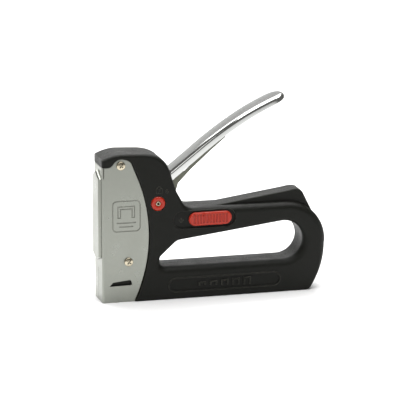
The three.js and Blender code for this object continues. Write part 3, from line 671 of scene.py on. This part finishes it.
# Power slider: a rounded red bar with scooped grooves between its ribs.
def powerSlider():
    s, r = slider, slider["height"] / 2
    bar = slab("slider_bar", [obround(s["x0"], s["x1"], s["z"], s["height"], 20)], s["face"], -13.3)
    rounded(bar, lambda e: rimEdge(e, s["face"]), 1.1, 4)
    scoops = []
    for i in range(11):
        x = s["x0"] + 4.3 + i * 2.56
        scoop = slab("scoop", [arc(x, s["face"] - 0.25, 0.95, 0, 345, 23)], s["z"] - r + 1.5,
                     s["z"] + r - 1.5, view="top")
        rounded(scoop, lambda e: len(e.link_faces) == 2 and e.calc_face_angle(0) > 1.2, 0.6, 3)
        scoops.append(scoop)
    carved(bar, *scoops)
    neck = block("neck", s["x0"] + 12, s["x0"] + 22, -13.6, -11.9, s["z"] - 2, s["z"] + 2)
    return carved(bar, neck, operation="UNION")


keep(smooth(powerSlider(), 40), "power", "red_plastic", "power_slider")

# Lock button: two red caps on a steel eyelet pin that slides across the tool.
lock = {"x": 44, "z": 76.6, "radius": 5.65, "travel": 3, "outer": 15, "edge": 1.5}


def lockCap(name, face, depth):
    into = 1 if face < 0 else -1
    r = lock["radius"]
    edge = lock["edge"]
    turns = [math.radians(a) for a in range(0, 91, 15)]
    shoulder = [(r - edge + edge * math.sin(a), face + into * edge * (1 - math.cos(a))) for a in turns]
    profile = [(1.95, face + into * depth), (1.95, face + into * 0.75), (2.2, face + into * 0.4),
               (2.7, face + into * 0.12), (3.3, face)] + shoulder + [(r, face + into * depth),
                                                                  (1.95, face + into * depth)]
    return turned(name, profile, lock["x"], lock["z"], 56)


def eyeletPin():
    left, right = -lock["outer"] + 0.05, lock["outer"] - lock["travel"] - 0.05
    profile = [(0, left + 3), (0.95, left + 3), (0.95, left + 0.35), (1.1, left + 0.08), (1.35, left),
               (1.65, left + 0.1), (1.78, left + 0.4), (1.75, -10.8), (3.2, -10.5), (3.2, -7.8),
               (2.1, -7.8), (2.1, 2.7), (3.2, 2.7), (3.2, 5.5), (1.75, 5.5), (1.78, right - 0.4),
               (1.65, right - 0.1), (1.35, right), (1.1, right - 0.08), (0.95, right - 0.35),
               (0.95, right - 3), (0, right - 3)]
    return turned("eyelet_pin", profile, lock["x"], lock["z"], 32)


depth = lock["outer"] - lock["travel"] - 7.4 - 0.6
keep(smooth(lockCap("lock_cap_left", -lock["outer"], depth), 50), "lock", "red_plastic", "lock_button_left")
keep(smooth(lockCap("lock_cap_right", lock["outer"] - lock["travel"], depth), 50), "lock", "red_plastic",
     "lock_button_right")
keep(smooth(eyeletPin(), 50), "lock", "nickel", "lock_pin")
print("controls ready")

# Lever: modelled straight, then bent along its line.
lever = {
    "line": [(50, 96.4), (66.6, 109.4), (90.4, 127.6), (114.3, 142.8), (136, 153.4), (147, 156.6)],
    "baseHalf": 8.8, "tipHalf": 10.6, "sheet": 1.2, "flange": 6.6, "shoulder": 2.6, "crown": 0.35,
    "station": 2.5,
}


def leverPath():
    line = [at(x, 0, z) for x, z in lever["line"]]
    curve = bpy.data.curves.new("lever_path", "CURVE")
    curve.dimensions = "3D"
    curve.twist_mode = "Z_UP"
    spline = curve.splines.new("BEZIER")
    spline.resolution_u = 40
    spline.bezier_points.add(len(line) - 1)
    for i, point in enumerate(spline.bezier_points):
        reach = (line[min(i + 1, len(line) - 1)] - line[max(i - 1, 0)]) / 6
        point.handle_left_type = point.handle_right_type = "FREE"
        point.co = line[i]
        point.handle_left, point.handle_right = line[i] - reach, line[i] + reach
    path = bpy.data.objects.new("lever_path", curve)
    bpy.context.collection.objects.link(path)
    return path, spline.calc_length() / mm


def leverPlan(length):
    base, tip, nib = lever["baseHalf"], lever["tipHalf"], 13
    side = []
    for i in range(25):
        x = (length - nib) * i / 24
        side.append((x, base + (tip - base) * min(1, x / length * 1.3)))
    roundEnd = []
    for a in range(5, 90, 5):
        c, s = math.cos(math.radians(a)), math.sin(math.radians(a))
        roundEnd.append((length - nib + nib * s ** 0.8, tip * c ** 0.75))
    near = side + roundEnd + [(length, 0)]
    return near + [(x, -y) for x, y in reversed(near[:-1])]


def leverCover():
    path, length = leverPath()
    start = at(0, 0, 0).x / mm
    plan = [(x - start, y) for x, y in leverPlan(length)]
    cover = slab("lever_skin", [plan], -lever["flange"], 0, view="top")

    def topEdge(edge):
        a, b = (v.co for v in edge.verts)
        return abs(a.z) < 0.01 * mm and abs(b.z) < 0.01 * mm and a.x + b.x > 0.2 * mm

    rounded(cover, topEdge, lever["shoulder"], 8)
    pick(cover, "FACE", lambda f: f.normal.z < -0.9 or f.normal.x < -0.9)
    bpy.ops.mesh.delete(type="FACE")
    steps = int(length / lever["station"])
    for i in range(1, steps):
        bpy.ops.mesh.select_all(action="SELECT")
        bpy.ops.mesh.bisect(plane_co=(i * lever["station"] * mm, 0, 0), plane_no=(1, 0, 0))
    for y in (-6, -4, -2, 0, 2, 4, 6):
        bpy.ops.mesh.select_all(action="SELECT")
        bpy.ops.mesh.bisect(plane_co=(0, y * mm, 0), plane_no=(0, 1, 0))
    cage = bmesh.from_edit_mesh(cover.data)
    for v in cage.verts:
        along = v.co.x / (length * mm)
        if v.co.z < -lever["flange"] * mm * 0.98:
            near = max(0, (along - 0.88) / 0.12)
            v.co.z = -(lever["flange"] - 1.6 * along - 1.4 * near ** 2) * mm
        v.co.z -= lever["crown"] * mm * (v.co.y / (lever["tipHalf"] * mm)) ** 2
    bmesh.update_edit_mesh(cover.data)
    bpy.ops.object.mode_set(mode="OBJECT")
    cleaned(cover, flat=False)
    applied(cover, "SOLIDIFY", thickness=lever["sheet"] * mm, offset=-1, use_even_offset=True)
    applied(cover, "CURVE", object=path, deform_axis="POS_X")
    bpy.data.objects.remove(path)
    return cover


keep(smooth(leverCover(), 50, weighted=False), "lever", "chrome", "lever_cover")
print("lever", len(pieces["lever_skin"].data.polygons))

# Works and magazine: bench copies with their edges broken.
copies = {
    "housing": [("lever_pivot_pin", "spring_steel"), ("magazine_channel", "zinc_steel"),
                ("spring_seat", "zinc_steel")],
    "lever": [("lever_arm_left", "dull_zinc"), ("lever_arm_right", "dull_zinc"),
              ("lever_rivet_1", "dull_zinc"), ("lever_rivet_2", "dull_zinc")],
    "driver": [("driver_block", "zinc_steel")],
    "magazine": [("magazine_rail", "zinc_steel"), ("pusher_rod", "nickel")],
    "follower": [("pusher", "red_plastic")],
}
for body, nodes in copies.items():
    for node, slot in nodes:
        keep(softened(node), body, slot, node)


# Drawer end of the magazine: follows the back of the housing, with four scooped grip grooves.
def magazineCap():
    low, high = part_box("magazine_cap")
    x0, z0, z1 = (low.x - noseX) / mm, low.z / mm, high.z / mm
    cap = slab("magazine_cap_fine", [housingLine()], -8, 8)
    carved(cap, block("reach", x0, 190, -10, 10, z0, z1), operation="INTERSECT")
    scoops = [rodAcross("scoop", 175.9 - 3.2 + 1.05 * i, 5.2 + 3.4 * i, 1.1, -6, 6, 24) for i in range(4)]
    carved(cap, *scoops)
    applied(cap, "BEVEL", width=0.35 * mm, segments=2, limit_method="ANGLE",
            angle_limit=math.radians(40), use_clamp_overlap=True)
    return cap


keep(smooth(magazineCap()), "magazine", "black_plastic", "magazine_cap")


# A coil of round wire along x or z, made by a screw of one ring.
def coilSpring(name, start, radius, wire, length, turns, axis):
    along = {"X": Vector((1, 0, 0)), "Z": Vector((0, 0, 1))}[axis]
    bpy.ops.mesh.primitive_circle_add(vertices=10, radius=wire * mm, fill_type="NGON")
    ring = bpy.context.object
    ring.name = ring.data.name = name
    ring.rotation_euler = (math.pi / 2, 0, 0)
    placed(ring)
    ring.location = (radius * mm, 0, 0) if axis == "Z" else (0, 0, radius * mm)
    placed(ring)
    applied(ring, "SCREW", axis=axis, angle=2 * math.pi * turns, screw_offset=(length - 2 * wire) * mm,
            iterations=1, steps=int(turns * 24), render_steps=int(turns * 24), use_merge_vertices=True,
            merge_threshold=0.001 * mm)
    ring.location = at(*start) + along * wire * mm
    return smooth(cleaned(placed(ring), flat=False), 60, weighted=False)


def springAt(node, name, radius, wire, turns, axis, body, slot="spring_steel"):
    low, high = ((corner - at(0, 0, 0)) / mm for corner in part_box(node))
    middle = (low + high) / 2
    start = (low.x, 0, middle.z) if axis == "X" else (middle.x, 0, low.z)
    length = (high - low).x if axis == "X" else (high - low).z
    return keep(coilSpring(name, start, radius, wire, length, turns, axis), body, slot, node)


# Gives a spring its own copy of its mesh.
def pressed(spring):
    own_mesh(spring)


pressed(springAt("pusher_spring", "pusher_coil", 2.2, 0.35, 34, "X", "magazine", "nickel"))
pressed(springAt("main_spring", "main_coil", 4.3, 0.7, 8, "Z", "housing"))


# The strip of staples, one staple repeated along the rail.
def stapleStrip():
    low, high = ((corner - at(0, 0, 0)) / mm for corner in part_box("staple_strip"))
    half, legs, wire = (high.y - low.y) / 2, high.z - low.z, 0.6
    staple = slab("staples", [stapleLine(0, high.z, 2 * half, legs, wire)], low.x, low.x + wire - 0.05,
                  view="front")
    applied(staple, "BEVEL", width=0.12 * mm, segments=1, limit_method="ANGLE")
    applied(staple, "ARRAY", count=int((high.x - low.x) / wire), use_relative_offset=False,
            use_constant_offset=True, constant_offset_displace=(wire * mm, 0, 0))
    return staple


keep(smooth(stapleStrip(), 40, weighted=False), "housing", "nickel", "staple_strip")
print("works and magazine ready")


def srgb(*values):
    return tuple(((v / 255 + 0.055) / 1.055) ** 2.4 for v in values) + (1,)


# Shared effects. Each is one node group, fed with object coordinates.
def newGroup(name, inputs, outputs):
    group = bpy.data.node_groups.new(name, "ShaderNodeTree")
    for label, kind, value in inputs:
        socket = group.interface.new_socket(label, in_out="INPUT", socket_type=kind)
        if value is not None:
            socket.default_value = value
    for label, kind in outputs:
        group.interface.new_socket(label, in_out="OUTPUT", socket_type=kind)
    return group, group.nodes.new("NodeGroupInput"), group.nodes.new("NodeGroupOutput")


def addNode(tree, kind, **settings):
    node = tree.nodes.new(kind)
    for name, value in settings.items():
        if name[0].isupper():
            node.inputs[name.replace("_", " ")].default_value = value
        else:
            setattr(node, name, value)
    return node


def grainGroup():
    group, into, out = newGroup("moulded_grain", [
        ("Vector", "NodeSocketVector", None), ("Scale", "NodeSocketFloat", 3000.0),
        ("Broad", "NodeSocketFloat", 70.0)], [("Height", "NodeSocketFloat"), ("Mottle", "NodeSocketFloat")])
    fine = addNode(group, "ShaderNodeTexNoise", Detail=2.0, Roughness=0.6)
    broad = addNode(group, "ShaderNodeTexNoise", Detail=3.0, Roughness=0.55)
    for node, scale in ((fine, "Scale"), (broad, "Broad")):
        group.links.new(into.outputs["Vector"], node.inputs["Vector"])
        group.links.new(into.outputs[scale], node.inputs["Scale"])
    group.links.new(fine.outputs["Fac"], out.inputs["Height"])
    group.links.new(broad.outputs["Fac"], out.inputs["Mottle"])
    return group


def brushedGroup():
    group, into, out = newGroup("drawn_lines", [
        ("Vector", "NodeSocketVector", None), ("Across", "NodeSocketFloat", 2600.0),
        ("Along", "NodeSocketFloat", 45.0)], [("Height", "NodeSocketFloat")])
    stretch = addNode(group, "ShaderNodeCombineXYZ")
    scaled = addNode(group, "ShaderNodeVectorMath", operation="MULTIPLY")
    lines = addNode(group, "ShaderNodeTexNoise", Scale=1.0, Detail=2.0)
    group.links.new(into.outputs["Across"], stretch.inputs["X"])
    group.links.new(into.outputs["Across"], stretch.inputs["Y"])
    group.links.new(into.outputs["Along"], stretch.inputs["Z"])
    group.links.new(into.outputs["Vector"], scaled.inputs[0])
    group.links.new(stretch.outputs["Vector"], scaled.inputs[1])
    group.links.new(scaled.outputs["Vector"], lines.inputs["Vector"])
    group.links.new(lines.outputs["Fac"], out.inputs["Height"])
    return group


# Edge mask: lightens thin rounded edges, partly as edge wear and partly as a painted highlight where such
# edges would catch the light.
def edgeWearAndHighlightGroup():
    group, into, out = newGroup("edge_wear_and_highlight", [
        ("Vector", "NodeSocketVector", None), ("Radius", "NodeSocketFloat", 0.0005),
        ("Amount", "NodeSocketFloat", 0.5)], [("Mask", "NodeSocketFloat")])
    soft = addNode(group, "ShaderNodeBevel", samples=4)
    plain = addNode(group, "ShaderNodeNewGeometry")
    meet = addNode(group, "ShaderNodeVectorMath", operation="DOT_PRODUCT")
    edge = addNode(group, "ShaderNodeMapRange", clamp=True)
    edge.inputs["From Min"].default_value = 0.995
    edge.inputs["From Max"].default_value = 0.85
    patch = addNode(group, "ShaderNodeTexNoise", Scale=420.0, Detail=3.0)
    broken = addNode(group, "ShaderNodeMath", operation="MULTIPLY")
    amount = addNode(group, "ShaderNodeMath", operation="MULTIPLY")
    group.links.new(into.outputs["Radius"], soft.inputs["Radius"])
    group.links.new(into.outputs["Vector"], patch.inputs["Vector"])
    group.links.new(soft.outputs["Normal"], meet.inputs[0])
    group.links.new(plain.outputs["Normal"], meet.inputs[1])
    group.links.new(meet.outputs["Value"], edge.inputs["Value"])
    group.links.new(edge.outputs["Result"], broken.inputs[0])
    group.links.new(patch.outputs["Fac"], broken.inputs[1])
    group.links.new(broken.outputs["Value"], amount.inputs[0])
    group.links.new(into.outputs["Amount"], amount.inputs[1])
    group.links.new(amount.outputs["Value"], out.inputs["Mask"])
    return group


# Painted shade: a dark tone laid into grooves, recesses and corners by an ambient occlusion mask, standing
# in for the shade that falls there.
def paintedShadeGroup():
    group, into, out = newGroup("painted_corner_shade", [
        ("Vector", "NodeSocketVector", None), ("Distance", "NodeSocketFloat", 0.0016),
        ("Amount", "NodeSocketFloat", 0.6)], [("Mask", "NodeSocketFloat")])
    hollow = addNode(group, "ShaderNodeAmbientOcclusion", samples=8, only_local=True)
    deep = addNode(group, "ShaderNodeMapRange", clamp=True)
    deep.inputs["From Min"].default_value = 0.92
    deep.inputs["From Max"].default_value = 0.45
    patch = addNode(group, "ShaderNodeTexNoise", Scale=260.0, Detail=3.0)
    share = addNode(group, "ShaderNodeMapRange")
    share.inputs["To Min"].default_value = 0.7
    broken = addNode(group, "ShaderNodeMath", operation="MULTIPLY")
    amount = addNode(group, "ShaderNodeMath", operation="MULTIPLY", use_clamp=True)
    group.links.new(into.outputs["Distance"], hollow.inputs["Distance"])
    group.links.new(hollow.outputs["AO"], deep.inputs["Value"])
    group.links.new(into.outputs["Vector"], patch.inputs["Vector"])
    group.links.new(patch.outputs["Fac"], share.inputs["Value"])
    group.links.new(deep.outputs["Result"], broken.inputs[0])
    group.links.new(share.outputs["Result"], broken.inputs[1])
    group.links.new(broken.outputs["Value"], amount.inputs[0])
    group.links.new(into.outputs["Amount"], amount.inputs[1])
    group.links.new(amount.outputs["Value"], out.inputs["Mask"])
    return group


groups = {"grain": grainGroup(), "brushed": brushedGroup(), "edge": edgeWearAndHighlightGroup(), "corner_shade": paintedShadeGroup()}

# What each finish looks like: two tones, an edge tone that is partly wear and partly painted highlight,
# roughness range, grain and its depth, and a painted shade tone for corners.
finishes = {
    "black_plastic": {
        "tones": (srgb(14, 15, 11), srgb(22, 23, 18)), "worn_and_highlight": srgb(122, 121, 110), "wear_and_highlight": 0.9,
        "rough": (0.36, 0.5), "metal": 0, "shine": 0.2, "grain": 2200, "depth": 0.22, "lines": 0,
        "painted_shade": srgb(4, 4, 3), "shade_amount": 0.8},
    "red_plastic": {
        "tones": (srgb(172, 38, 18), srgb(186, 46, 24)), "worn_and_highlight": srgb(232, 104, 80), "wear_and_highlight": 0.8,
        "rough": (0.24, 0.36), "metal": 0, "shine": 0.4, "grain": 1500, "depth": 0.02, "lines": 0,
        "painted_shade": srgb(84, 14, 8), "shade_amount": 0.8},
    "zinc_steel": {
        "tones": (srgb(136, 139, 132), srgb(158, 160, 152)), "worn_and_highlight": srgb(196, 194, 184), "wear_and_highlight": 0.9,
        "rough": (0.24, 0.38), "metal": 1, "shine": 0.5, "grain": 1300, "depth": 0.03, "lines": 0.05,
        "painted_shade": srgb(52, 52, 46), "shade_amount": 0.85},
    "chrome": {
        "tones": (srgb(206, 208, 206), srgb(214, 215, 213)), "worn_and_highlight": srgb(226, 226, 224), "wear_and_highlight": 0.2,
        "rough": (0.05, 0.1), "metal": 1, "shine": 0.5, "grain": 160, "depth": 0.004, "lines": 0,
        "painted_shade": srgb(90, 88, 80), "shade_amount": 0.3},
    "dull_zinc": {
        "tones": (srgb(104, 106, 96), srgb(124, 125, 113)), "worn_and_highlight": srgb(160, 160, 148), "wear_and_highlight": 0.6,
        "rough": (0.42, 0.58), "metal": 1, "shine": 0.5, "grain": 700, "depth": 0.05, "lines": 0.02,
        "painted_shade": srgb(44, 44, 38), "shade_amount": 0.6},
    "nickel": {
        "tones": (srgb(190, 181, 158), srgb(204, 195, 172)), "worn_and_highlight": srgb(226, 220, 204), "wear_and_highlight": 0.3,
        "rough": (0.16, 0.26), "metal": 1, "shine": 0.5, "grain": 500, "depth": 0.01, "lines": 0,
        "painted_shade": srgb(60, 54, 40), "shade_amount": 0.8},
    "spring_steel": {
        "tones": (srgb(104, 104, 102), srgb(124, 124, 121)), "worn_and_highlight": srgb(170, 170, 168), "wear_and_highlight": 0.4,
        "rough": (0.28, 0.42), "metal": 1, "shine": 0.5, "grain": 700, "depth": 0.02, "lines": 0,
        "painted_shade": srgb(36, 35, 32), "shade_amount": 0.7},
    "rubber": {
        "tones": (srgb(24, 24, 24), srgb(31, 31, 30)), "worn_and_highlight": srgb(50, 50, 50), "wear_and_highlight": 0.2,
        "rough": (0.75, 0.9), "metal": 0, "shine": 0.3, "grain": 1800, "depth": 0.1, "lines": 0,
        "painted_shade": srgb(12, 12, 12), "shade_amount": 0.4},
}


def makeFinish(name, look):
    material = bpy.data.materials.new(name)
    material.use_nodes = True
    tree = material.node_tree
    shader = tree.nodes["Principled BSDF"]
    shader.inputs["Metallic"].default_value = look["metal"]
    shader.inputs["Specular IOR Level"].default_value = look["shine"]
    place = addNode(tree, "ShaderNodeTexCoord")
    grain, worn_and_highlight, lines, painted_shade = (addNode(tree, "ShaderNodeGroup", node_tree=groups[kind])
                                for kind in ("grain", "edge", "brushed", "corner_shade"))
    grain.inputs["Scale"].default_value = look["grain"]
    worn_and_highlight.inputs["Amount"].default_value = look["wear_and_highlight"]
    tones = addNode(tree, "ShaderNodeMix", data_type="RGBA")
    tones.inputs["A"].default_value, tones.inputs["B"].default_value = look["tones"]
    # Edge tone over the base: partly edge wear, partly painted highlight on thin edges.
    edge_lightened = addNode(tree, "ShaderNodeMix", data_type="RGBA")
    edge_lightened.inputs["B"].default_value = look["worn_and_highlight"]
    # Painted shade: the dark tone laid into corners and grooves by the ambient occlusion mask.
    shaded = addNode(tree, "ShaderNodeMix", data_type="RGBA")
    shaded.inputs["B"].default_value = look["painted_shade"]
    painted_shade.inputs["Amount"].default_value = look["shade_amount"]
    rough = addNode(tree, "ShaderNodeMapRange")
    rough.inputs["From Min"].default_value, rough.inputs["From Max"].default_value = 0.3, 0.7
    rough.inputs["To Min"].default_value, rough.inputs["To Max"].default_value = look["rough"]
    relief = addNode(tree, "ShaderNodeBump", Strength=1.0, Distance=look["depth"] * mm)
    for node in (grain, worn_and_highlight, lines, painted_shade):
        tree.links.new(place.outputs["Object"], node.inputs["Vector"])
    tree.links.new(grain.outputs["Mottle"], tones.inputs["Factor"])
    tree.links.new(tones.outputs["Result"], edge_lightened.inputs["A"])
    tree.links.new(worn_and_highlight.outputs["Mask"], edge_lightened.inputs["Factor"])
    tree.links.new(edge_lightened.outputs["Result"], shaded.inputs["A"])
    tree.links.new(painted_shade.outputs["Mask"], shaded.inputs["Factor"])
    tree.links.new(shaded.outputs["Result"], shader.inputs["Base Color"])
    tree.links.new(grain.outputs["Mottle"], rough.inputs["Value"])
    tree.links.new(rough.outputs["Result"], shader.inputs["Roughness"])
    tree.links.new(grain.outputs["Height"], relief.inputs["Height"])
    if look["lines"]:
        drawn = addNode(tree, "ShaderNodeBump", Strength=1.0, Distance=look["lines"] * mm)
        tree.links.new(lines.outputs["Height"], drawn.inputs["Height"])
        tree.links.new(relief.outputs["Normal"], drawn.inputs["Normal"])
        tree.links.new(drawn.outputs["Normal"], shader.inputs["Normal"])
    else:
        tree.nodes.remove(lines)
        tree.links.new(relief.outputs["Normal"], shader.inputs["Normal"])
    return material


materials = {name: makeFinish(name, look) for name, look in finishes.items()}
for piece in pieces.values():
    piece.data.materials.clear()
    piece.data.materials.append(materials[piece["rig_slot"]])
for entry in frame["record"]["subparts"]:
    node = frame["nodes"][entry["node"]]
    node.data.materials.clear()
    node.data.materials.append(materials[entry["material_slot"]])
print("finishes ready")
